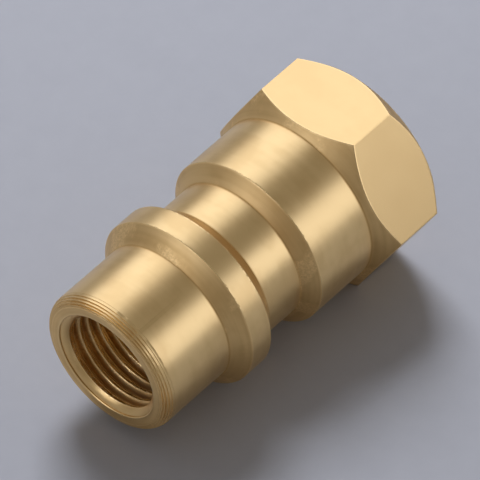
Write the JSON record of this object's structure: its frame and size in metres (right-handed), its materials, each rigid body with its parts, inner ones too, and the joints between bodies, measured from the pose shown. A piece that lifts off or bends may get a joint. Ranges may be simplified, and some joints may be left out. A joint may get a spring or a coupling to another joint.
{
  "type": "quick coupling service adapter",
  "caption": "One-piece hexagon-bodied male quick-coupling adapter with a stepped collar nose, a spring-loaded valve core and a threaded hose port.",
  "frame": {"origin": "middle of the overall length, on the axis of the turned nose", "axes": "+Y along the axis from the nose to the hexagon; +Z out of one wrench flat; the nose faces -Y"},
  "size_m": [0.0196, 0.0308, 0.017],
  "materials": {
    "body_brass": "turned, lightly satin",
    "core_brass": "turned",
    "pin_steel": "drawn",
    "spring_steel": "drawn wire",
    "seal_rubber": "matte",
    "gasket_rubber": "matte"
  },
  "bodies": {
    "adapter": {"adapter_body": "body_brass", "port_gasket": "gasket_rubber", "depressor_plate": "core_brass", "depressor_pin": "pin_steel"},
    "core": {"core_sleeve": "core_brass", "core_seal": "seal_rubber", "core_spring": "spring_steel"},
    "plug": {"core_plug": "core_brass"},
    "plunger": {"plunger_pin": "pin_steel", "poppet_cup": "core_brass", "poppet_gasket": "gasket_rubber"}
  },
  "joints": [
    {"name": "core_slide", "type": "slide", "parent": "adapter", "child": "core", "axis": [0, -1, 0], "range_m": [0, 0.00423]},
    {"name": "plug_turn", "type": "hinge", "parent": "core", "child": "plug", "pos_m": [0, -0.0036, 0], "axis": [0, -1, 0], "range_deg": [0, 2160]},
    {"name": "plunger_slide", "type": "slide", "parent": "core", "child": "plunger", "axis": [0, 1, 0], "range_m": [0, 0.0016], "stiffness_N_per_m": 1500, "springref_m": -0.0025, "deforming": ["core_spring"]}
  ],
  "couplings": [
    {"joint": "plug_turn", "follows": "core_slide", "rad_per_m": 8905.3}
  ]
}
